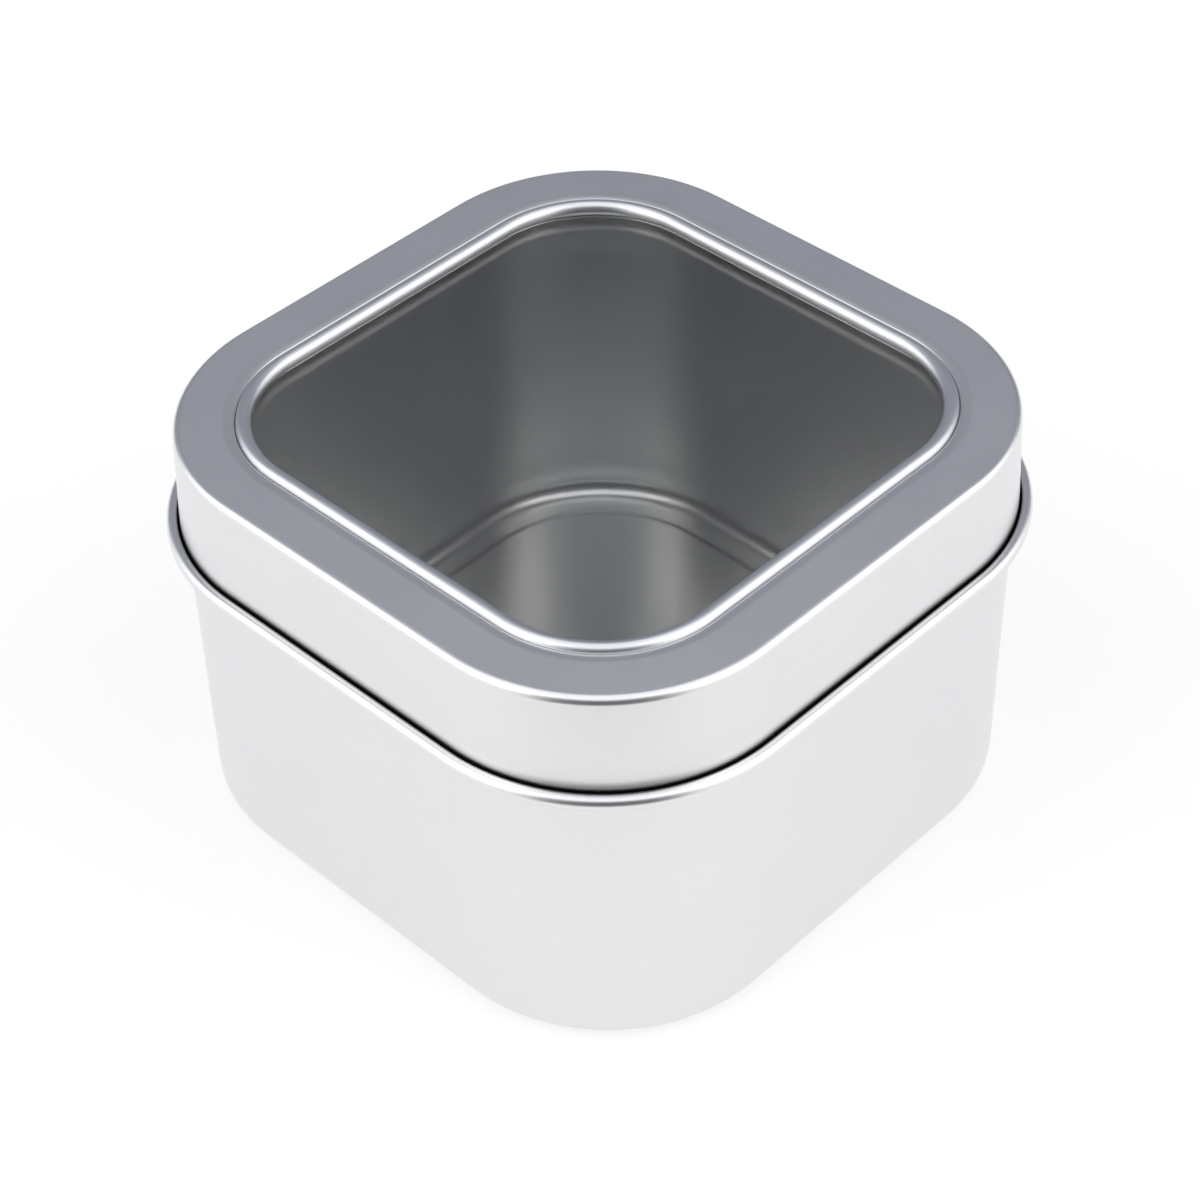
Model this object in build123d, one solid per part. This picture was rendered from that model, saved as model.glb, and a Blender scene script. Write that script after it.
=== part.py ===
"""Square window tin: a deep-drawn body, and a slip-over lid with a rolled lower edge and a clear window.

Every metal piece is one strip of tinplate, drawn in section from the middle of the tin outwards and
then carried round a square with round corners. All the corners of the tin share the same four
centres, so a piece that lies further out simply has a larger corner radius.
The origin is the middle of the base, on the surface that the tin stands on, and +Z points up.
Sizes are in millimetres.
"""

import math
import os

from build123d import *

# Overall sizes, with the lid on: its width at the top edge and the height of its flat frame
lid_width = 76.0
frame_height = 49.65
lid_corner_radius = 21.5
sheet = 0.25

# Base of the body: a standing ring round a raised middle panel
base_radius = 2.3
standing_ring_width = 1.6
panel_rise = 0.45
panel_step_run = 1.4

# Neck of the body: it leans in like the lid's skirt, and its edge is curled inwards at the mouth
slip_clearance = 0.25
neck_bend_radius = 20.0
mouth_gap = 0.1
mouth_curl_width = 1.4
mouth_curl_turn = 270.0

# Skirt of the lid: it leans out a little from the rounded top edge down to its rolled lower edge
lid_edge_radius = 0.85
skirt_lean = 2.8
roll_diameter = 1.7
roll_height = 37.15
roll_turn = 290.0

# Frame of the lid: flat, then dipping into a recess that holds the window
frame_width = 6.57
frame_dip_width = 1.0
frame_dip_turn = 12.0
frame_lip_radius = 0.3
ledge_bend_radius = 0.35
ledge_setback = 0.8

# Window: a clear pane on the ledge, held down by a rolled ring
pane_thickness = 0.3
pane_clearance = 0.15
ring_diameter = 1.8
ring_clearance = 0.03
ring_seat_gap = 0.02
ring_stands_proud = 0.45
ring_seam_start = -15.0
ring_wrap = 300.0

# Sizes that follow from the ones above
half_sheet = sheet / 2
lid_half = lid_width / 2
corner_centre = lid_half - lid_corner_radius
lean = math.radians(skirt_lean)
roll_radius = roll_diameter / 2
mouth_top = frame_height - sheet - mouth_gap
recess_face = lid_half - frame_width
ring_radius = ring_diameter / 2
ring_middle = recess_face - ring_clearance - ring_radius
ring_height = frame_height + ring_stands_proud - ring_radius
pane_top = ring_height - ring_radius - ring_seat_gap
ledge_top = pane_top - pane_thickness
pane_half = recess_face - pane_clearance

OUTWARDS = (1, 0)
QUARTER_TURN = 90
CORNERS = 4


class Strip:
    """The middle line of a strip of sheet in section: x is the distance from the tin's middle, y the height."""

    def __init__(self, x, height, heading):
        self.point = Vector(x, height)
        self.heading = Vector(heading)
        self.pieces = []

    def _add(self, piece):
        self.pieces.append(piece)
        self.point = piece @ 1
        self.heading = piece % 1
        return self

    def _run(self, length):
        return self._add(Line(self.point, self.point + self.heading * length))

    def to_x(self, x):
        """A straight stretch that ends at the distance x."""
        return self._run((x - self.point.X) / self.heading.X)

    def to_height(self, height):
        """A straight stretch that ends at a height."""
        return self._run((height - self.point.Y) / self.heading.Y)

    def to_face(self, face_height, outside_radius):
        """A straight stretch that stops where a bend can bring the sheet's outside face level at a height."""
        middle_radius = outside_radius - half_sheet
        room = half_sheet + middle_radius * (1 - abs(self.heading.X))
        return self.to_height(face_height - math.copysign(room, self.heading.Y))

    def bend(self, outside_radius, turn):
        """A bend whose outside face has this radius; a positive turn goes left."""
        return self._add(JernArc(self.point, self.heading, outside_radius - half_sheet, turn))

    def step(self, run, rise):
        """Two equal bends that carry the strip to a level that is lower by the rise, over the run."""
        turn = 2 * math.degrees(math.atan2(rise, run))
        radius = (run**2 + rise**2) / (4 * rise)
        self._add(JernArc(self.point, self.heading, radius, -turn))
        return self._add(JernArc(self.point, self.heading, radius, turn))

    def section(self):
        """The strip at its full thickness, on the plane through the tin's middle."""
        return Plane.XZ * trace(Curve() + self.pieces, line_width=sheet)


def carry_round(section):
    """Carries a section round the square with round corners, as four sides and four turned corners."""
    side = extrude(Pos(Y=corner_centre) * section, amount=2 * corner_centre, dir=(0, -1, 0))
    turned = revolve(Pos(X=-corner_centre) * section, Axis.Z, QUARTER_TURN)
    corner = Pos(corner_centre, corner_centre, 0) * turned
    around = Part()
    for index in range(CORNERS):
        around += [Rot(Z=QUARTER_TURN * index) * piece for piece in (side, corner)]
    return around


def skirt_inside(height):
    """How far the inside of the lid's skirt is from the middle of the tin, at a height."""
    edge_middle = lid_half - lid_edge_radius * math.cos(lean)
    below_edge = frame_height - lid_edge_radius - height
    return edge_middle + (lid_edge_radius - sheet + below_edge * math.sin(lean)) / math.cos(lean)


def tin_body():
    """The drawn body: base panel, standing ring, wall, leaning neck and curled mouth."""
    body_half = skirt_inside(roll_height) - slip_clearance
    curl_radius = mouth_curl_width / 2

    strip = Strip(corner_centre, panel_rise + half_sheet, OUTWARDS)
    strip.to_x(body_half - base_radius - standing_ring_width - panel_step_run)
    strip.step(panel_step_run, panel_rise)
    strip.to_x(body_half - base_radius)
    strip.bend(base_radius, QUARTER_TURN)
    strip.to_height(roll_height)
    strip.bend(neck_bend_radius, skirt_lean)
    strip.to_face(mouth_top, curl_radius)
    strip.bend(curl_radius, mouth_curl_turn)

    middle = Rectangle(2 * corner_centre, 2 * corner_centre)
    panel = Pos(Z=panel_rise) * extrude(middle, amount=sheet)
    return carry_round(strip.section()) + panel


def lid_shell():
    """The pressed lid: ledge and recess for the window, dipped frame, rounded edge, skirt and rolled edge."""
    dip_turn = math.radians(frame_dip_turn)
    dip_radius = frame_dip_width / math.sin(dip_turn)
    dip_drop = dip_radius * (1 - math.cos(dip_turn))
    lip_drop = (frame_lip_radius - half_sheet) * math.cos(dip_turn)

    strip = Strip(ring_middle - ring_radius + ledge_setback, ledge_top - half_sheet, OUTWARDS)
    strip.to_x(recess_face + sheet - ledge_bend_radius)
    strip.bend(ledge_bend_radius, QUARTER_TURN)
    strip.to_height(frame_height - half_sheet - dip_drop - lip_drop)
    strip.bend(frame_lip_radius, frame_dip_turn - QUARTER_TURN)
    strip.bend(dip_radius + half_sheet, -frame_dip_turn)
    strip.to_x(lid_half - lid_edge_radius * math.cos(lean))
    strip.bend(lid_edge_radius, skirt_lean - QUARTER_TURN)
    strip.to_face(roll_height - roll_radius, roll_radius)
    strip.bend(roll_radius, roll_turn)
    return carry_round(strip.section())


def window_pane():
    """The clear pane, cut to drop into the recess and lie on its ledge."""
    outline = RectangleRounded(2 * pane_half, 2 * pane_half, pane_half - corner_centre)
    return Pos(Z=ledge_top) * extrude(outline, amount=pane_thickness)


def window_ring():
    """The ring round the window, rolled from a strip, with its seam turned down and outwards."""
    middle_line = CenterArc((ring_middle, ring_height), ring_radius - half_sheet, ring_seam_start, ring_wrap)
    return carry_round(Plane.XZ * trace(middle_line, line_width=sheet))


def main():
    """Writes one file for each piece of the tin."""
    os.makedirs("parts", exist_ok=True)
    for make in (tin_body, lid_shell, window_pane, window_ring):
        export_step(make(), f"parts/{make.__name__}.step")


main()
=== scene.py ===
"""The looks of a square window tin: satin tinplate shells, a clear window and a pale studio.

Every metal piece is a strip of sheet, drawn in section and carried round a square with round
corners by one Geometry Nodes tree, because all the corners of the tin share the same four centres.
Sizes are in metres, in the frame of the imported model.
"""

import logging
import math
from dataclasses import dataclass, field
from enum import Enum

import bpy
from mathutils import Matrix, Vector


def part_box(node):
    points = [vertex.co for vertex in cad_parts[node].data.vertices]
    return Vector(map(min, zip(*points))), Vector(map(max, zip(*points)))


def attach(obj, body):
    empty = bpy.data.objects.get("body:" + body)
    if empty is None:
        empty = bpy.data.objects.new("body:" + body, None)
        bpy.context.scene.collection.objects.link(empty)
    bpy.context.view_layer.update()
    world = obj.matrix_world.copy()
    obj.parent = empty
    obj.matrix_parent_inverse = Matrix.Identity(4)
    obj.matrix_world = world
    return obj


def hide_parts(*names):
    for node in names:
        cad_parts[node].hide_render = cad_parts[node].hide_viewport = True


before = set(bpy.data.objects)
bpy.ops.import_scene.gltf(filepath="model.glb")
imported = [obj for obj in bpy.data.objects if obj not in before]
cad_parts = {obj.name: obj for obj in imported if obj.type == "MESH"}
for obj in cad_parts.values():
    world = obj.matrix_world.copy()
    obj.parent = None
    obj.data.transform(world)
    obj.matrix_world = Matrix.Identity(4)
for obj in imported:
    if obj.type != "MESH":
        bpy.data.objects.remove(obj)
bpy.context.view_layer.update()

log = logging.getLogger("window_tin")

MM = 0.001
QUARTER_TURN = math.pi / 2
HALF_TURN = math.pi
CORNERS = 4
# The crevice mask carries painted shade, darkest at the bottom of a crevice.
MASKS = ("inside", "bent", "crevice")

Socket = bpy.types.NodeSocket
Value = Socket | float | int | bool | str | tuple | Vector | bpy.types.Material


class Body(Enum):
    """Moving bodies of the tin."""

    TIN = "tin"
    LID = "lid"


class NodeBench:
    """Adds nodes to a tree and joins them."""

    COLUMN = 180.0

    def __init__(self, tree: bpy.types.NodeTree) -> None:
        """Starts with the tree.

        Args:
            tree: the tree that the nodes go into.
        """
        self.tree = tree

    def add(
        self, kind: str, inputs: dict[str | int, Value] | None = None, **settings: object
    ) -> bpy.types.Node:
        """Adds one node.

        Args:
            kind: the node's type.
            inputs: sockets or plain values for its inputs, by name or number.
            settings: the node's own settings.

        Returns:
            The new node.
        """
        node = self.tree.nodes.new(kind)
        node.location.x = self.COLUMN * len(self.tree.nodes)
        for name, value in settings.items():
            setattr(node, name, value)
        for key, value in (inputs or {}).items():
            self.put(node.inputs[key], value)
        return node

    def through(
        self,
        kind: str,
        geometry: Socket,
        inputs: dict[str | int, Value] | None = None,
        **settings: object,
    ) -> Socket:
        """Passes geometry through one node.

        Args:
            kind: the node's type.
            geometry: the socket with the geometry.
            inputs: sockets or plain values for the node's other inputs.
            settings: the node's own settings.

        Returns:
            The socket with the changed geometry.
        """
        return self.add(kind, {"Geometry": geometry, **(inputs or {})}, **settings).outputs[0]

    def put(self, socket: Socket, value: Value) -> None:
        """Links a socket to an input, or gives the input a plain value.

        Args:
            socket: the input.
            value: the socket or plain value for it.
        """
        if isinstance(value, Socket):
            self.tree.links.new(value, socket)
        else:
            socket.default_value = value

    def math(self, operation: str, *values: Value) -> Socket:
        """Works out one sum.

        Args:
            operation: the name of the sum.
            values: what it is worked out from.

        Returns:
            The socket with the result.
        """
        return self.add("ShaderNodeMath", dict(enumerate(values)), operation=operation).outputs[0]

    def vector(self, operation: str, *values: Value) -> Socket:
        """Works out one sum with vectors.

        Args:
            operation: the name of the sum.
            values: what it is worked out from.

        Returns:
            The socket with the result, a number for a dot product and a vector otherwise.
        """
        node = self.add("ShaderNodeVectorMath", operation=operation)
        enabled = [socket for socket in node.inputs if socket.enabled]
        for socket, value in zip(enabled, values):
            self.put(socket, value)
        return node.outputs["Value" if operation == "DOT_PRODUCT" else "Vector"]

    def blend(self, share: Value, first: Value, second: Value) -> Socket:
        """Goes from one number to another.

        Args:
            share: how far to go, from 0 to 1.
            first: the number at 0.
            second: the number at 1.

        Returns:
            The socket with the number between them.
        """
        node = self.add("ShaderNodeMix", {0: share, 2: first, 3: second}, data_type="FLOAT")
        return node.outputs[0]

    def tint(self, share: Value, first: Value, second: Value) -> Socket:
        """Goes from one colour to another.

        Args:
            share: how far to go, from 0 to 1.
            first: the colour at 0.
            second: the colour at 1.

        Returns:
            The socket with the colour between them.
        """
        node = self.add("ShaderNodeMix", {0: share, 6: first, 7: second}, data_type="RGBA")
        return node.outputs[2]

    def between(self, value: Value, low: float, high: float, style: str = "SMOOTHSTEP") -> Socket:
        """Turns a range of a value into 0 to 1.

        Args:
            value: the value.
            low: where 0 is reached.
            high: where 1 is reached.
            style: how it goes from one to the other.

        Returns:
            The socket with the share.
        """
        node = self.add(
            "ShaderNodeMapRange",
            {"Value": value, "From Min": low, "From Max": high},
            interpolation_type=style,
        )
        return node.outputs["Result"]


def new_material(name: str) -> tuple[bpy.types.Material, NodeBench]:
    """Makes a material that has no nodes yet.

    Args:
        name: the material's name.

    Returns:
        The material, and the bench for its nodes.
    """
    material = bpy.data.materials.new(name)
    material.use_nodes = True
    material.node_tree.nodes.clear()
    return material, NodeBench(material.node_tree)


def heading(angle: float) -> Vector:
    """The unit vector that points along an angle in a section."""
    return Vector((math.cos(angle), math.sin(angle)))


@dataclass
class Station:
    """One point of a strip's middle line, with the way that the strip runs there."""

    point: Vector
    angle: float
    bent: float


class Strip:
    """A strip of sheet in section: x is the distance from the tin's middle, y the height."""

    BEND_STEP = math.radians(9.0)
    LEAST_BEND_STEPS = 3
    GUARD = 0.04 * MM
    GUARDED_FROM = 4 * GUARD
    END_STEPS = 4

    def __init__(self, x: float, height: float, sheet: float, angle: float = 0.0) -> None:
        """Starts the strip.

        Args:
            x: the start's distance from the middle of the tin.
            height: the start's height.
            sheet: the sheet's thickness.
            angle: the way that the strip starts out, straight outwards at 0.
        """
        self.half_sheet = sheet / 2
        self.stations = [Station(Vector((x, height)), angle, 0.0)]

    @property
    def last(self) -> Station:
        """The end of the strip so far."""
        return self.stations[-1]

    def _run(self, length: float) -> None:
        """Adds a straight stretch, with a guard point near each end, so that flat faces shade flat.

        Args:
            length: how long the stretch is.
        """
        last = self.last
        steps = [length]
        if length > self.GUARDED_FROM:
            steps = [self.GUARD, length - self.GUARD, length]
        way = heading(last.angle)
        self.stations += [Station(last.point + way * step, last.angle, 0.0) for step in steps]

    def to_x(self, x: float) -> None:
        """A straight stretch that ends at the distance x."""
        self._run((x - self.last.point.x) / math.cos(self.last.angle))

    def to_height(self, height: float) -> None:
        """A straight stretch that ends at a height."""
        self._run((height - self.last.point.y) / math.sin(self.last.angle))

    def to_face(self, face_height: float, outside_radius: float) -> None:
        """A straight stretch up to where a bend can bring the outside face level at a height.

        Args:
            face_height: the height of the level face.
            outside_radius: the radius of the bend's outside face.
        """
        middle_radius = outside_radius - self.half_sheet
        room = self.half_sheet + middle_radius * (1 - abs(math.cos(self.last.angle)))
        self.to_height(face_height - math.copysign(room, math.sin(self.last.angle)))

    def arc(self, radius: float, turn: float) -> None:
        """Adds an arc.

        Args:
            radius: the radius of the middle line.
            turn: the angle that it turns by, to the left where it is positive.
        """
        last = self.last
        side = math.copysign(radius, turn)
        centre = last.point + Vector((-math.sin(last.angle), math.cos(last.angle))) * side
        count = max(self.LEAST_BEND_STEPS, math.ceil(abs(turn) / self.BEND_STEP))
        for step in range(1, count + 1):
            angle = last.angle + turn * step / count
            point = centre + Vector((math.sin(angle), -math.cos(angle))) * side
            self.stations.append(Station(point, angle, 1.0))

    def bend(self, outside_radius: float, turn: float) -> None:
        """A bend whose outside face has this radius; a positive turn goes left."""
        self.arc(outside_radius - self.half_sheet, turn)

    def step_down(self, run: float, rise: float) -> None:
        """Two equal bends that carry the strip to a lower level.

        Args:
            run: how far the strip goes on meanwhile.
            rise: how much lower it ends.
        """
        turn = 2 * math.atan2(rise, run)
        radius = (run**2 + rise**2) / (4 * rise)
        self.arc(radius, -turn)
        self.arc(radius, turn)

    def section(self, rounded_start: bool) -> "Section":
        """Gives the strip its thickness.

        Args:
            rounded_start: whether the strip has a cut edge at its start.

        Returns:
            The outline, from the start along the right face and back along the left face.
        """
        right = [self.aside(station, -QUARTER_TURN) for station in self.stations]
        left = [self.aside(station, QUARTER_TURN) for station in self.stations]
        bent = [station.bent for station in self.stations]
        last, first = self.stations[-1], self.stations[0]
        end = self._edge(last.point, last.angle)
        start = self._edge(first.point, first.angle + HALF_TURN) if rounded_start else []
        outline = Section(closed=rounded_start)
        outline.extend(right, 0.0, bent)
        outline.extend(end, 0.0, [1.0] * len(end))
        outline.extend(left[::-1], 1.0, bent[::-1])
        outline.extend(start, 1.0, [1.0] * len(start))
        return outline

    def aside(self, station: Station, turn: float) -> Vector:
        """The point of the strip's face beside a station."""
        return station.point + heading(station.angle + turn) * self.half_sheet

    def _edge(self, point: Vector, angle: float) -> list[Vector]:
        """The rounded edge of the sheet at one end of the strip.

        Args:
            point: the end of the middle line.
            angle: the way out of the end.

        Returns:
            The points between the two faces.
        """
        steps = range(1, self.END_STEPS)
        turns = [HALF_TURN * step / self.END_STEPS - QUARTER_TURN for step in steps]
        return [point + heading(angle + turn) * self.half_sheet for turn in turns]


@dataclass
class Section:
    """An outline to carry round the tin, anticlockwise, with x to the right and the height up."""

    closed: bool
    points: list[Vector] = field(default_factory=list)
    inside: list[float] = field(default_factory=list)
    bent: list[float] = field(default_factory=list)
    # Painted shade on each point near the bottom of a crevice.
    crevice: list[float] = field(default_factory=list)

    def extend(self, points: list[Vector], inside: float, bent: list[float]) -> None:
        """Adds a stretch of outline.

        Args:
            points: its points.
            inside: 1 on the face that looks into the tin, 0 on the other.
            bent: 1 for each point on a bend, 0 on flat sheet.
        """
        self.points += points
        self.inside += [inside] * len(points)
        self.bent += bent
        self.crevice += [0.0] * len(points)

    def paint_crevice_shade(self, deep: Vector, reach: float, first: int) -> None:
        """Marks painted shade on the outline near the bottom of a crevice, where the groove lies in
        shade.

        Args:
            deep: the bottom of the crevice.
            reach: how far from there the painted shade ends.
            first: the number of the first point that it can lie on.
        """
        for number in range(first, len(self.points)):
            self.crevice[number] = max(0.0, 1 - (self.points[number] - deep).length / reach)

    def mesh(self, name: str) -> bpy.types.Mesh:
        """The outline as loose points in the XZ plane, in order.

        Args:
            name: the mesh's name.

        Returns:
            The mesh, with its three masks as attributes.
        """
        mesh = bpy.data.meshes.new(name)
        mesh.from_pydata([(point.x, 0.0, point.y) for point in self.points], [], [])
        for mask, values in zip(MASKS, (self.inside, self.bent, self.crevice)):
            mesh.attributes.new(mask, "FLOAT", "POINT").data.foreach_set("value", values)
        return mesh


class CarryRound:
    """The Geometry Nodes tree that carries a section round the square with round corners."""

    CORNER_STEPS = 32
    SIDE_STEPS = 6
    WELD = 0.0005 * MM
    INSIDE_FROM = 0.5

    def __init__(self, corner_centre: float) -> None:
        """Builds the tree.

        Args:
            corner_centre: the distance of the four corner centres from the middle, along x and y.
        """
        self.corner_centre = corner_centre
        self.tree = bpy.data.node_groups.new("Carry round the corners", "GeometryNodeTree")
        self.tree.is_modifier = True
        self.sockets = self._interface()
        self._build()

    def _interface(self) -> dict[str, str]:
        """Makes the tree's inputs and its output.

        Returns:
            The identifier of each input, by its name.
        """
        face = self.tree.interface
        face.new_socket("Geometry", in_out="OUTPUT", socket_type="NodeSocketGeometry")
        kinds = {
            "Section": "NodeSocketGeometry",
            "Corner Centre": "NodeSocketFloat",
            "Corner Steps": "NodeSocketInt",
            "Side Steps": "NodeSocketInt",
            "Closed": "NodeSocketInt",
            "Outside": "NodeSocketMaterial",
            "Inside": "NodeSocketMaterial",
        }
        return {
            name: face.new_socket(name, in_out="INPUT", socket_type=kind).identifier
            for name, kind in kinds.items()
        }

    def _build(self) -> None:
        """Adds the nodes: a grid of rings and section points, put in place and dressed."""
        bench = NodeBench(self.tree)
        given = bench.add("NodeGroupInput").outputs
        section = given["Section"]
        count = bench.add("GeometryNodeAttributeDomainSize", {0: section}).outputs["Point Count"]
        quarter = bench.math("ADD", given["Corner Steps"], given["Side Steps"])
        rings = bench.math("MULTIPLY", quarter, CORNERS)
        rows = bench.math("ADD", count, given["Closed"])
        grid = bench.add(
            "GeometryNodeMeshGrid",
            {"Vertices X": bench.math("ADD", rings, 1), "Vertices Y": rows},
        ).outputs["Mesh"]

        number = bench.add("GeometryNodeInputIndex").outputs[0]
        row = bench.math("FLOORED_MODULO", bench.math("FLOORED_MODULO", number, rows), count)
        row_start = bench.math("FLOOR", bench.math("DIVIDE", number, rows))
        ring = bench.math("FLOORED_MODULO", row_start, rings)
        which_quarter = bench.math("FLOOR", bench.math("DIVIDE", ring, quarter))
        in_quarter = bench.math("FLOORED_MODULO", ring, quarter)

        place = self._place(bench, given, section, row, in_quarter)
        turned = bench.add(
            "ShaderNodeVectorRotate",
            {"Vector": place, "Angle": bench.math("MULTIPLY", which_quarter, QUARTER_TURN)},
            rotation_type="Z_AXIS",
        ).outputs[0]
        shape = bench.through("GeometryNodeSetPosition", grid, {"Position": turned})
        for mask in MASKS:
            value = self._sampled(bench, section, self._named(bench, mask), row, "FLOAT")
            shape = bench.through(
                "GeometryNodeStoreNamedAttribute",
                shape,
                {"Name": mask, "Value": value},
                data_type="FLOAT",
                domain="POINT",
            )
        shape = bench.through("GeometryNodeMergeByDistance", shape, {"Distance": self.WELD})
        shape = bench.through("GeometryNodeSetShadeSmooth", shape)
        shape = bench.through("GeometryNodeRealizeInstances", shape)
        shape = bench.through("GeometryNodeSetMaterial", shape, {"Material": given["Outside"]})
        looks_in = bench.math("GREATER_THAN", self._named(bench, "inside"), self.INSIDE_FROM)
        dressed = {"Selection": looks_in, "Material": given["Inside"]}
        shape = bench.through("GeometryNodeSetMaterial", shape, dressed)
        bench.add("NodeGroupOutput", {0: shape})

    def _place(
        self,
        bench: NodeBench,
        given: bpy.types.NodeOutputs,
        section: Socket,
        row: Socket,
        in_quarter: Socket,
    ) -> Socket:
        """Works out a point's place in the first quarter of the way round.

        The part of the distance that lies beyond the corner centre becomes the corner's radius.

        Args:
            bench: where the nodes go.
            given: the tree's inputs.
            section: the section's points.
            row: the number of the section's point.
            in_quarter: the ring's number in its quarter, corner first and straight side after.

        Returns:
            The socket with the place.
        """
        position = bench.add("GeometryNodeInputPosition").outputs[0]
        point = self._sampled(bench, section, position, row, "FLOAT_VECTOR")
        split = bench.add("ShaderNodeSeparateXYZ", {0: point}).outputs
        distance, height = split["X"], split["Z"]
        square = bench.math("MINIMUM", distance, given["Corner Centre"])
        radius = bench.math("SUBTRACT", distance, square)
        corner_share = bench.math("DIVIDE", in_quarter, given["Corner Steps"])
        angle = bench.math("MULTIPLY", bench.math("MINIMUM", corner_share, 1.0), QUARTER_TURN)
        past_corner = bench.math("SUBTRACT", in_quarter, given["Corner Steps"])
        side_share = bench.math("DIVIDE", past_corner, given["Side Steps"])
        side_share = bench.between(side_share, 0.0, 1.0, "SMOOTHERSTEP")
        along = bench.math("SUBTRACT", 1.0, bench.math("MULTIPLY", side_share, 2.0))
        beside = bench.math("MULTIPLY", square, along)
        across = bench.math("MULTIPLY_ADD", bench.math("COSINE", angle), radius, beside)
        upward = bench.math("MULTIPLY_ADD", bench.math("SINE", angle), radius, square)
        place = {"X": across, "Y": upward, "Z": height}
        return bench.add("ShaderNodeCombineXYZ", place).outputs[0]

    @staticmethod
    def _named(bench: NodeBench, name: str) -> Socket:
        """A number that is stored on the points under a name."""
        node = bench.add("GeometryNodeInputNamedAttribute", {"Name": name}, data_type="FLOAT")
        return node.outputs[0]

    @staticmethod
    def _sampled(
        bench: NodeBench, source: Socket, value: Socket, row: Socket, kind: str
    ) -> Socket:
        """Reads a value from one point of the section.

        Args:
            bench: where the nodes go.
            source: the section's points.
            value: what is read.
            row: the number of the point.
            kind: the kind of value.

        Returns:
            The socket with the value.
        """
        node = bench.add("GeometryNodeSampleIndex", data_type=kind, domain="POINT")
        bench.put(node.inputs["Geometry"], source)
        bench.put(node.inputs["Value"], value)
        bench.put(node.inputs["Index"], row)
        return node.outputs[0]

    def make(
        self, name: str, section: Section, outside: bpy.types.Material, inside: bpy.types.Material
    ) -> bpy.types.Object:
        """Makes a piece as a plain mesh.

        Args:
            name: the piece's name.
            section: its section.
            outside: the finish where the section's inside mask is 0.
            inside: the finish where it is 1.

        Returns:
            The piece, at the origin.
        """
        piece = bpy.data.objects.new(name, section.mesh(f"{name}_section"))
        bpy.context.scene.collection.objects.link(piece)
        nodes = piece.modifiers.new("Carry round", "NODES")
        nodes.node_group = self.tree
        values = {
            "Corner Centre": self.corner_centre,
            "Corner Steps": self.CORNER_STEPS,
            "Side Steps": self.SIDE_STEPS,
            "Closed": int(section.closed),
            "Outside": outside,
            "Inside": inside,
        }
        for socket, value in values.items():
            nodes[self.sockets[socket]] = value
        graph = bpy.context.evaluated_depsgraph_get()
        mesh = bpy.data.meshes.new_from_object(
            piece.evaluated_get(graph), preserve_all_data_layers=True, depsgraph=graph
        )
        mesh.name = name
        piece.modifiers.clear()
        piece.data = mesh
        return piece


class SheetGrain:
    """The shader group that all tinplate finishes share: rolled grain, smudges, worn bends and
    painted shade in crevices.
    """

    NAME = "Sheet grain"
    INPUTS = {
        "Roughness": 0.3,
        "Smudge Share": 0.12,
        "Smudge Size": 11.0 * MM,
        "Grain Size": 0.3 * MM,
        "Grain Depth": 1.0,
        "Bend Polish": 0.05,
        # How dark the painted shade at the bottom of crevices is.
        "Crevice Painted Shade": 0.9,
    }
    OUTPUTS = ("Roughness", "Tone", "Height", "Unshaded")
    SMUDGE_DETAIL = 3.0
    GRAIN_DETAIL = 2.0
    GRAIN_IN_TONE = 0.65
    NOISE_MIDDLE = 0.5
    CREVICE_FULL = 0.75

    @classmethod
    def group(cls) -> bpy.types.NodeTree:
        """Gives the group, which is built once.

        Returns:
            The group, with the outputs Roughness, Tone, Height, and the share of colour that the
            painted crevice shade leaves.
        """
        found = bpy.data.node_groups.get(cls.NAME)
        if found:
            return found
        tree = bpy.data.node_groups.new(cls.NAME, "ShaderNodeTree")
        for name, value in cls.INPUTS.items():
            socket = tree.interface.new_socket(name, in_out="INPUT", socket_type="NodeSocketFloat")
            socket.default_value = value
        for name in cls.OUTPUTS:
            tree.interface.new_socket(name, in_out="OUTPUT", socket_type="NodeSocketFloat")
        cls._build(NodeBench(tree))
        return tree

    @classmethod
    def _build(cls, bench: NodeBench) -> None:
        """Adds the group's nodes.

        Args:
            bench: where the nodes go.
        """
        given = bench.add("NodeGroupInput").outputs
        place = bench.add("ShaderNodeTexCoord").outputs["Object"]
        smudge = cls._noise(bench, place, given["Smudge Size"], cls.SMUDGE_DETAIL)
        grain = cls._noise(bench, place, given["Grain Size"], cls.GRAIN_DETAIL)
        bent = bench.add("ShaderNodeAttribute", attribute_name="bent").outputs["Fac"]
        crevice = bench.add("ShaderNodeAttribute", attribute_name="crevice").outputs["Fac"]

        swing = bench.math("SUBTRACT", smudge, cls.NOISE_MIDDLE)
        swing = bench.math("MULTIPLY", swing, given["Smudge Share"])
        polish = bench.math("MULTIPLY", bent, given["Bend Polish"])
        rough = bench.math("SUBTRACT", bench.math("ADD", given["Roughness"], swing), polish)
        tone = bench.blend(cls.GRAIN_IN_TONE, smudge, grain)
        height = bench.math("MULTIPLY", grain, given["Grain Depth"])
        # Painted shade: the colour darkens towards the bottom of each crevice, standing in for the
        # shade there.
        crevice_shaded = bench.between(crevice, 0.0, cls.CREVICE_FULL)
        unshaded = bench.math("SUBTRACT", 1.0, bench.math("MULTIPLY", crevice_shaded, given["Crevice Painted Shade"]))
        bench.add("NodeGroupOutput", dict(zip(cls.OUTPUTS, (rough, tone, height, unshaded))))

    @staticmethod
    def _noise(bench: NodeBench, place: Socket, size: Socket, detail: float) -> Socket:
        """Noise with a real size.

        Args:
            bench: where the nodes go.
            place: the coordinates.
            size: the size of its lumps.
            detail: how many finer layers it has.

        Returns:
            The socket with the noise, about 0.5 on average.
        """
        scale = bench.math("DIVIDE", 1.0, size)
        node = bench.add("ShaderNodeTexNoise", {"Vector": place, "Scale": scale, "Detail": detail})
        return node.outputs[0]


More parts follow.
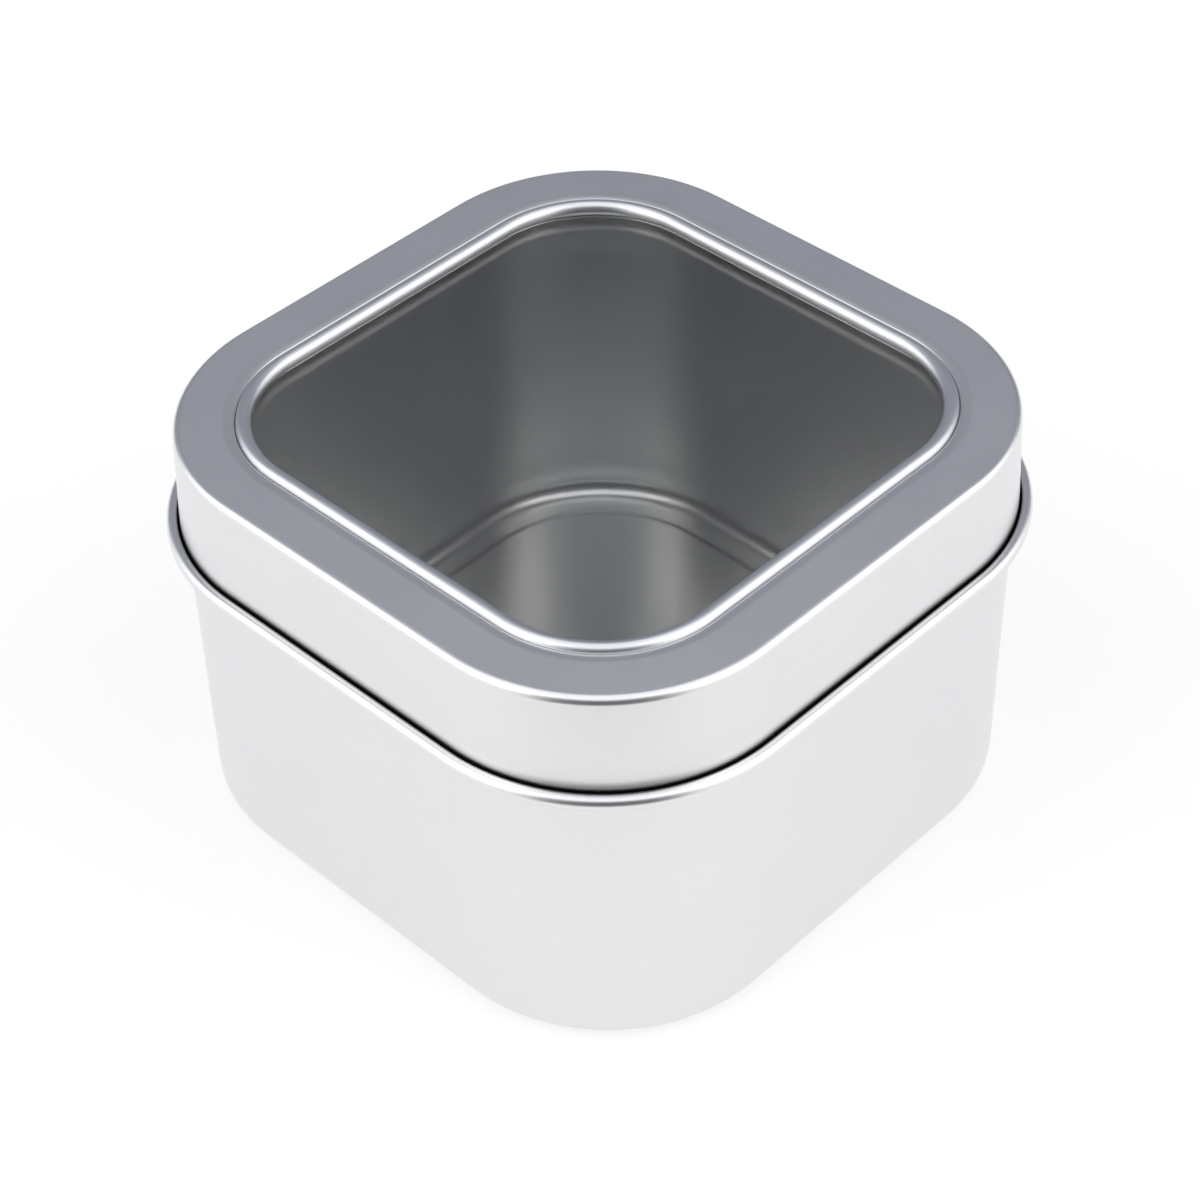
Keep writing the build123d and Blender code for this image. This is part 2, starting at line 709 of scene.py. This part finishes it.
@dataclass(frozen=True)
class TinplateFinish:
    """Satin tinplate, which can carry painted shade that makes it darker near the mouth of the tin
    than at its base.
    """

    name: str
    colour: tuple[float, float, float]
    roughness: float
    tone_swing: float = 0.05
    smudge_share: float = 0.05
    grain_depth: float = 1.0
    bend_polish: float = 0.04
    bump_height: float = 0.0015 * MM
    # Painted shade: how much darker the colour is at the mouth level.
    mouth_painted_shade: float = 0.0
    mouth_level: float = 48.0 * MM

    def material(self) -> bpy.types.Material:
        """Builds the finish.

        Returns:
            The material.
        """
        material, bench = new_material(self.name)
        shared = {
            "Roughness": self.roughness,
            "Smudge Share": self.smudge_share,
            "Grain Depth": self.grain_depth,
            "Bend Polish": self.bend_polish,
        }
        grain = bench.add("ShaderNodeGroup", shared, node_tree=SheetGrain.group()).outputs
        dark = tuple(channel * (1 - self.tone_swing) for channel in self.colour)
        light = tuple(min(1.0, channel * (1 + self.tone_swing)) for channel in self.colour)
        colour = bench.tint(grain["Tone"], (*dark, 1.0), (*light, 1.0))
        # Painted shade: the colour is darkened in crevices and towards the mouth.
        bright = bench.math("MULTIPLY", grain["Unshaded"], self._mouth_shade_left(bench))
        colour = bench.vector("SCALE", colour, bright)
        relief = {"Height": grain["Height"], "Distance": self.bump_height, "Strength": 1.0}
        bump = bench.add("ShaderNodeBump", relief).outputs[0]
        shader = bench.add(
            "ShaderNodeBsdfPrincipled",
            {
                "Base Color": colour,
                "Metallic": 1.0,
                "Roughness": grain["Roughness"],
                "Normal": bump,
            },
        ).outputs[0]
        bench.add("ShaderNodeOutputMaterial", {"Surface": shader})
        return material

    def _mouth_shade_left(self, bench: NodeBench) -> Socket:
        """Works out how much of the colour the painted shade towards the mouth leaves at each
        height.

        Args:
            bench: where the nodes go.

        Returns:
            The socket with the share, 1 at the base and less at the mouth.
        """
        place = bench.add("ShaderNodeTexCoord").outputs["Object"]
        level = bench.add("ShaderNodeSeparateXYZ", {0: place}).outputs["Z"]
        rise = bench.between(level, 0.0, self.mouth_level, "LINEAR")
        return bench.math("SUBTRACT", 1.0, bench.math("MULTIPLY", rise, self.mouth_painted_shade))


@dataclass(frozen=True)
class ClearPlastic:
    """Clear plastic sheet with a few specks of dust on it."""

    name: str
    colour: tuple[float, float, float] = (0.985, 0.99, 0.985)
    refraction: float = 1.46
    speck_size: float = 3.4 * MM
    speck_reach: float = 0.055
    speck_share: float = 0.05
    speck_roughness: float = 0.9
    sheet_roughness: float = 0.0

    def material(self) -> bpy.types.Material:
        """Builds the finish.

        Returns:
            The material.
        """
        material, bench = new_material(self.name)
        place = bench.add("ShaderNodeTexCoord").outputs["Object"]
        cells = bench.add(
            "ShaderNodeTexVoronoi",
            {"Vector": place, "Scale": 1 / self.speck_size, "Randomness": 1.0},
        ).outputs
        near = bench.between(cells["Distance"], self.speck_reach, 0.0)
        lot = bench.add("ShaderNodeSeparateColor", {0: cells["Color"]}).outputs[0]
        chosen = bench.math("GREATER_THAN", lot, 1 - self.speck_share)
        speck = bench.math("MULTIPLY", near, chosen)
        rough = bench.blend(speck, self.sheet_roughness, self.speck_roughness)
        shader = bench.add(
            "ShaderNodeBsdfPrincipled",
            {
                "Base Color": (*self.colour, 1.0),
                "Metallic": 0.0,
                "Roughness": rough,
                "IOR": self.refraction,
                "Transmission Weight": 1.0,
            },
        ).outputs[0]
        bench.add("ShaderNodeOutputMaterial", {"Surface": shader})
        return material


OUTER_TINPLATE = TinplateFinish("Satin tinplate, outside", (0.775, 0.78, 0.788), 0.34)
# The inside carries painted shade that darkens it towards the mouth.
INNER_TINPLATE = TinplateFinish(
    "Dull tinplate, inside, painted shade at mouth", (0.68, 0.684, 0.685), 0.35, mouth_painted_shade=0.46
)
RING_TINPLATE = TinplateFinish("Rolled tinplate", (0.7, 0.71, 0.735), 0.37)
CLEAR_SHEET = ClearPlastic("Clear plastic sheet")


@dataclass(frozen=True)
class Drawing:
    """Sizes that the body and the lid share."""

    sheet: float = 0.25 * MM
    corner_centre: float = 16.5 * MM
    skirt_lean: float = math.radians(2.8)
    roll_height: float = 37.15 * MM


@dataclass
class TinBody:
    """The drawn body: base panel, standing ring, wall, leaning neck and curled mouth."""

    drawing: Drawing
    carry: CarryRound
    base_radius: float = 2.3 * MM
    standing_ring_width: float = 1.6 * MM
    panel_rise: float = 0.45 * MM
    panel_step_run: float = 1.4 * MM
    neck_bend_radius: float = 20.0 * MM
    mouth_curl_width: float = 1.4 * MM
    mouth_curl_turn: float = 1.5 * math.pi

    def section(self) -> Section:
        """Draws the section from the middle of the base to the curled mouth.

        Returns:
            The outline of the sheet.
        """
        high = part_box("tin_body")[1]
        sheet = self.drawing.sheet
        curl_radius = self.mouth_curl_width / 2
        strip = Strip(0.0, self.panel_rise + sheet / 2, sheet)
        strip.to_x(high.x - self.base_radius - self.standing_ring_width - self.panel_step_run)
        strip.step_down(self.panel_step_run, self.panel_rise)
        strip.to_x(high.x - self.base_radius)
        strip.bend(self.base_radius, QUARTER_TURN)
        strip.to_height(self.drawing.roll_height)
        strip.bend(self.neck_bend_radius, self.drawing.skirt_lean)
        strip.to_face(high.z, curl_radius)
        strip.bend(curl_radius, self.mouth_curl_turn)
        return strip.section(rounded_start=False)

    def build(self) -> None:
        """Makes and dresses the body."""
        outer, inner = OUTER_TINPLATE.material(), INNER_TINPLATE.material()
        piece = self.carry.make("drawn_body", self.section(), outer, inner)
        dress(piece, Body.TIN, "tin_body")


@dataclass
class WindowLid:
    """The slip-over lid: a pressed shell, a clear pane and the rolled ring that holds it."""

    drawing: Drawing
    carry: CarryRound
    lid_half: float = 38.0 * MM
    lid_edge_radius: float = 0.85 * MM
    roll_turn: float = math.radians(290.0)
    frame_dip_width: float = 1.0 * MM
    frame_dip_turn: float = math.radians(12.0)
    frame_lip_radius: float = 0.3 * MM
    ledge_bend_radius: float = 0.35 * MM
    ledge_setback: float = 0.8 * MM
    ring_clearance: float = 0.03 * MM
    ring_seam_start: float = math.radians(-15.0)
    ring_wrap: float = math.radians(300.0)
    pane_edge_radius: float = 0.05 * MM
    crevice_reach: float = 2.2 * MM

    def shell_section(self) -> Section:
        """Draws the shell's section, from the ledge under the pane to the skirt's rolled edge.

        Returns:
            The outline of the sheet.
        """
        low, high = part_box("lid_shell")
        ring_low, ring_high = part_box("window_ring")
        sheet, lean = self.drawing.sheet, self.drawing.skirt_lean
        recess_face = ring_high.x + self.ring_clearance
        ledge_edge = ring_high.x - (ring_high.z - ring_low.z) + self.ledge_setback
        dip_radius = self.frame_dip_width / math.sin(self.frame_dip_turn)
        dip_drop = dip_radius * (1 - math.cos(self.frame_dip_turn))
        lip_drop = (self.frame_lip_radius - sheet / 2) * math.cos(self.frame_dip_turn)
        roll_radius = self.drawing.roll_height - low.z

        strip = Strip(ledge_edge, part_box("window_pane")[0].z - sheet / 2, sheet)
        strip.to_x(recess_face + sheet - self.ledge_bend_radius)
        strip.bend(self.ledge_bend_radius, QUARTER_TURN)
        strip.to_height(high.z - sheet / 2 - dip_drop - lip_drop)
        strip.bend(self.frame_lip_radius, self.frame_dip_turn - QUARTER_TURN)
        strip.bend(dip_radius + sheet / 2, -self.frame_dip_turn)
        strip.to_x(self.lid_half - self.lid_edge_radius * math.cos(lean))
        strip.bend(self.lid_edge_radius, lean - QUARTER_TURN)
        strip.to_height(low.z + roll_radius + self.crevice_reach)
        strip.to_height(low.z + roll_radius + self.crevice_reach / 2)
        strip.to_face(low.z, roll_radius)
        deep, before_roll = strip.last.point, len(strip.stations)
        strip.bend(roll_radius, self.roll_turn)
        outline = strip.section(rounded_start=True)
        # The right face looks into the tin up to the roll, which turns that face outwards.
        outline.inside = [float(number < before_roll) for number in range(len(outline.points))]
        # Painted shade in the crevice between the skirt and its roll.
        outline.paint_crevice_shade(deep, self.crevice_reach, len(strip.stations))
        return outline

    def ring_section(self) -> Section:
        """Draws the rolled ring's section, with its seam turned down and outwards.

        Returns:
            The outline of the sheet.
        """
        low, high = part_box("window_ring")
        radius = (high.z - low.z) / 2
        line_radius = radius - self.drawing.sheet / 2
        angle = self.ring_seam_start
        start = Vector((high.x - radius, high.z - radius)) + heading(angle) * line_radius
        strip = Strip(start.x, start.y, self.drawing.sheet, angle + QUARTER_TURN)
        strip.bend(radius, self.ring_wrap)
        return strip.section(rounded_start=True)

    def pane_section(self) -> Section:
        """Draws the pane's section, from its middle underneath to its middle on top.

        Returns:
            The outline of the pane.
        """
        low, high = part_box("window_pane")
        edge = Strip(0.0, low.z + self.pane_edge_radius, 2 * self.pane_edge_radius)
        edge.to_x(high.x - self.pane_edge_radius)
        edge.arc(0.0, QUARTER_TURN)
        edge.to_height(high.z - self.pane_edge_radius)
        edge.arc(0.0, QUARTER_TURN)
        edge.to_x(0.0)
        outline = Section(closed=False)
        points = [edge.aside(station, -QUARTER_TURN) for station in edge.stations]
        outline.extend(points, 0.0, [0.0] * len(points))
        return outline

    def build(self) -> None:
        """Makes and dresses the lid's three pieces."""
        outer, inner = OUTER_TINPLATE.material(), INNER_TINPLATE.material()
        shell = self.carry.make("pressed_lid", self.shell_section(), outer, inner)
        dress(shell, Body.LID, "lid_shell")
        rolled = RING_TINPLATE.material()
        ring = self.carry.make("rolled_ring", self.ring_section(), rolled, rolled)
        dress(ring, Body.LID, "window_ring")
        clear = CLEAR_SHEET.material()
        pane = self.carry.make("clear_window", self.pane_section(), clear, clear)
        dress(pane, Body.LID, "window_pane")


def dress(piece: bpy.types.Object, body: Body, node: str) -> None:
    """Puts a piece on its body in place of a solid, and reports it.

    Args:
        piece: the finished mesh.
        body: the body that it moves with.
        node: the solid that it stands for.
    """
    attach(piece, body.value)
    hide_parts(node)
    log.info("%s: %d faces, on %s", piece.name, len(piece.data.polygons), body.value)


@dataclass
class Viewpoint:
    """The camera, at the photograph's viewing angle."""

    lens: float = 85.81
    sensor: float = 36.0
    azimuth: float = math.radians(-45.509)
    elevation: float = math.radians(42.129)
    roll: float = math.radians(-1.365)
    distance: float = 335.11 * MM
    right_of_origin: float = -0.6 * MM
    above_origin: float = 16.208 * MM
    clip_start: float = 0.01
    clip_end: float = 20.0

    def back(self) -> Vector:
        """The way from the object to the camera."""
        flat, rise = math.cos(self.elevation), math.sin(self.elevation)
        return Vector((math.sin(self.azimuth) * flat, -math.cos(self.azimuth) * flat, rise))

    def level_ways(self) -> tuple[Vector, Vector]:
        """Gives the camera's ways along the floor.

        Returns:
            The level way from the object towards the camera, and the one to the camera's right.
        """
        near = Vector((math.sin(self.azimuth), -math.cos(self.azimuth), 0.0))
        side = Vector((math.cos(self.azimuth), math.sin(self.azimuth), 0.0))
        return near, side

    def build(self) -> None:
        """Makes the camera and hands it to the scene."""
        back = self.back()
        _, level = self.level_ways()
        tilt = back.cross(level)
        right = level * math.cos(self.roll) + tilt * math.sin(self.roll)
        up = tilt * math.cos(self.roll) - level * math.sin(self.roll)
        data = bpy.data.cameras.new("Viewpoint")
        data.lens, data.sensor_width, data.sensor_fit = self.lens, self.sensor, "HORIZONTAL"
        data.clip_start, data.clip_end = self.clip_start, self.clip_end
        camera = bpy.data.objects.new("Viewpoint", data)
        bpy.context.scene.collection.objects.link(camera)
        place = right * self.right_of_origin + up * self.above_origin + back * self.distance
        turned = Matrix((right, up, back)).transposed().to_4x4()
        camera.matrix_world = Matrix.Translation(place) @ turned
        bpy.context.scene.camera = camera
        log.info("camera at %.0f mm", self.distance / MM)


@dataclass(frozen=True)
class TentPatch:
    """A soft-edged panel of the tent, in degrees.

    The height is the elevation above the floor. The turn is the azimuth from the camera's side,
    where 180 is the far side. A panel is there on both sides of the camera alike.
    """

    colour: tuple[float, float, float]
    height_from: float
    height_to: float
    turn_from: float
    turn_to: float
    softness: float


@dataclass
class LightTent:
    """The pale floor, the tent of light round the object and the world beyond it."""

    viewpoint: Viewpoint
    floor_half: float = 1.5
    tent_radius: float = 1.4
    tent_segments: int = 48
    floor_level: float = 0.0
    floor_glow: float = 0.7
    floor_colour: float = 0.8
    sheet_edge: float = 0.11
    sheet_fade: float = 0.11
    beyond_colour: float = 0.2
    beyond_full: float = 0.45
    beyond_none: float = 0.75
    cloth: tuple[float, float, float] = (1.17, 1.18, 1.23)
    patches: tuple[TentPatch, ...] = (
        TentPatch((0.28, 0.295, 0.34), -30.0, 60.0, 120.0, 210.0, 14.0),
        TentPatch((1.6, 1.58, 1.55), 16.0, 66.0, 39.0, 112.0, 20.0),
        TentPatch((3.0, 2.92, 2.78), 26.0, 60.0, 46.0, 76.0, 16.0),
        TentPatch((0.1, 0.1, 0.105), -30.0, 47.0, -30.0, 33.0, 18.0),
    )

    def build(self) -> None:
        """Makes the floor, the tent and the world."""
        self._floor()
        self._tent()
        self._world()

    @staticmethod
    def _seen(bench: NodeBench) -> Socket:
        """Marks what the camera, metal and glass see.

        Args:
            bench: where the nodes go.

        Returns:
            The socket with the mask, 1 for what they see and 0 for what lights the object.
        """
        light = bench.add("ShaderNodeLightPath").outputs
        direct = bench.math("MAXIMUM", light["Is Camera Ray"], light["Is Glossy Ray"])
        return bench.math("MAXIMUM", direct, light["Is Transmission Ray"])

    def _floor(self) -> None:
        """A white sheet that keeps the object's shadow, with a dark room past its front edge."""
        mesh = bpy.data.meshes.new("Floor")
        half = self.floor_half
        corners = [(-half, -half), (half, -half), (half, half), (-half, half)]
        mesh.from_pydata([(x, y, self.floor_level) for x, y in corners], [], [(0, 1, 2, 3)])
        floor = bpy.data.objects.new("Floor", mesh)
        bpy.context.scene.collection.objects.link(floor)
        material, bench = new_material("White sheet")
        paper = self._matt(bench, self.floor_colour)
        dim = self._matt(bench, 1 - self.floor_glow)
        glow = bench.add("ShaderNodeEmission", {"Strength": self.floor_glow}).outputs[0]
        bright = bench.add("ShaderNodeAddShader", {0: dim, 1: glow}).outputs[0]
        pale = self._either(bench, self._seen(bench), paper, bright)
        dark = self._matt(bench, self.beyond_colour)
        surface = self._either(bench, self._beyond(bench), pale, dark)
        bench.add("ShaderNodeOutputMaterial", {"Surface": surface})
        material.cycles.emission_sampling = "NONE"
        mesh.materials.append(material)

    @staticmethod
    def _matt(bench: NodeBench, grey: float) -> Socket:
        """A matt grey surface."""
        return bench.add("ShaderNodeBsdfDiffuse", {"Color": (grey, grey, grey, 1.0)}).outputs[0]

    @staticmethod
    def _either(bench: NodeBench, share: Socket, first: Socket, second: Socket) -> Socket:
        """The first surface where the share is 0, and the second where it is 1."""
        return bench.add("ShaderNodeMixShader", {0: share, 1: first, 2: second}).outputs[0]

    def _beyond(self, bench: NodeBench) -> Socket:
        """Marks the dark room past the sheet's front edge, which only reflections show.

        Args:
            bench: where the nodes go.

        Returns:
            The socket with the mask, 1 well past the edge in front of the object.
        """
        near, side = self.viewpoint.level_ways()
        place = bench.add("ShaderNodeTexCoord").outputs["Object"]
        ahead = bench.vector("DOT_PRODUCT", place, near)
        aside = bench.math("ABSOLUTE", bench.vector("DOT_PRODUCT", place, side))
        share = bench.math("DIVIDE", aside, bench.math("MAXIMUM", ahead, self.sheet_edge))
        front = bench.between(ahead, self.sheet_edge, self.sheet_edge + self.sheet_fade)
        centre = bench.between(share, self.beyond_none, self.beyond_full)
        glossy = bench.add("ShaderNodeLightPath").outputs["Is Glossy Ray"]
        return bench.math("MULTIPLY", bench.math("MULTIPLY", front, centre), glossy)

    def _tent(self) -> None:
        """A dome whose brightness changes with the direction, as a photographer's tent does."""
        bpy.ops.mesh.primitive_uv_sphere_add(
            segments=self.tent_segments, ring_count=self.tent_segments // 2, radius=self.tent_radius
        )
        tent = bpy.context.object
        tent.name = "Tent"
        tent.visible_camera = False
        material, bench = new_material("Tent cloth")
        way = bench.vector("NORMALIZE", bench.add("ShaderNodeTexCoord").outputs["Object"])
        near, side = self.viewpoint.level_ways()
        rise = bench.add("ShaderNodeSeparateXYZ", {0: way}).outputs["Z"]
        height = bench.math("DEGREES", bench.math("ARCSINE", rise))
        aside = bench.math("ABSOLUTE", bench.vector("DOT_PRODUCT", way, side))
        ahead = bench.vector("DOT_PRODUCT", way, near)
        turn = bench.math("DEGREES", bench.math("ARCTAN2", aside, ahead))
        colour: Value = (*self.cloth, 1.0)
        for patch in self.patches:
            share = bench.math(
                "MULTIPLY",
                self._within(bench, height, patch.height_from, patch.height_to, patch.softness),
                self._within(bench, turn, patch.turn_from, patch.turn_to, patch.softness),
            )
            colour = bench.tint(share, colour, (*patch.colour, 1.0))
        glow = bench.add("ShaderNodeEmission", {"Color": colour}).outputs[0]
        bench.add("ShaderNodeOutputMaterial", {"Surface": glow})
        tent.data.materials.append(material)

    @staticmethod
    def _within(
        bench: NodeBench, value: Socket, low: float, high: float, softness: float
    ) -> Socket:
        """A soft mask for a stretch of an angle.

        Args:
            bench: where the nodes go.
            value: the angle.
            low: where the stretch starts.
            high: where it ends.
            softness: how far the mask fades on both sides of each end.

        Returns:
            The socket with the mask, 1 well inside the stretch and 0 well outside it.
        """
        middle, half = (low + high) / 2, (high - low) / 2
        off = bench.math("ABSOLUTE", bench.math("SUBTRACT", value, middle))
        return bench.between(off, half + softness / 2, half - softness / 2)

    def _world(self) -> None:
        """A plain white world."""
        world = bpy.data.worlds.new("Studio")
        world.use_nodes = True
        world.node_tree.nodes.clear()
        bench = NodeBench(world.node_tree)
        white = {"Color": (1.0, 1.0, 1.0, 1.0), "Strength": 1.0}
        glow = bench.add("ShaderNodeBackground", white).outputs[0]
        bench.add("ShaderNodeOutputWorld", {"Surface": glow})
        bpy.context.scene.world = world


def main() -> None:
    """Builds the tin, the studio and the camera."""
    logging.basicConfig(level=logging.INFO, format="%(name)s: %(message)s")
    bpy.context.scene.view_settings.view_transform = "Standard"
    drawing = Drawing()
    carry = CarryRound(drawing.corner_centre)
    TinBody(drawing, carry).build()
    WindowLid(drawing, carry).build()
    viewpoint = Viewpoint()
    viewpoint.build()
    LightTent(viewpoint).build()


if __name__ == "__main__":
    main()
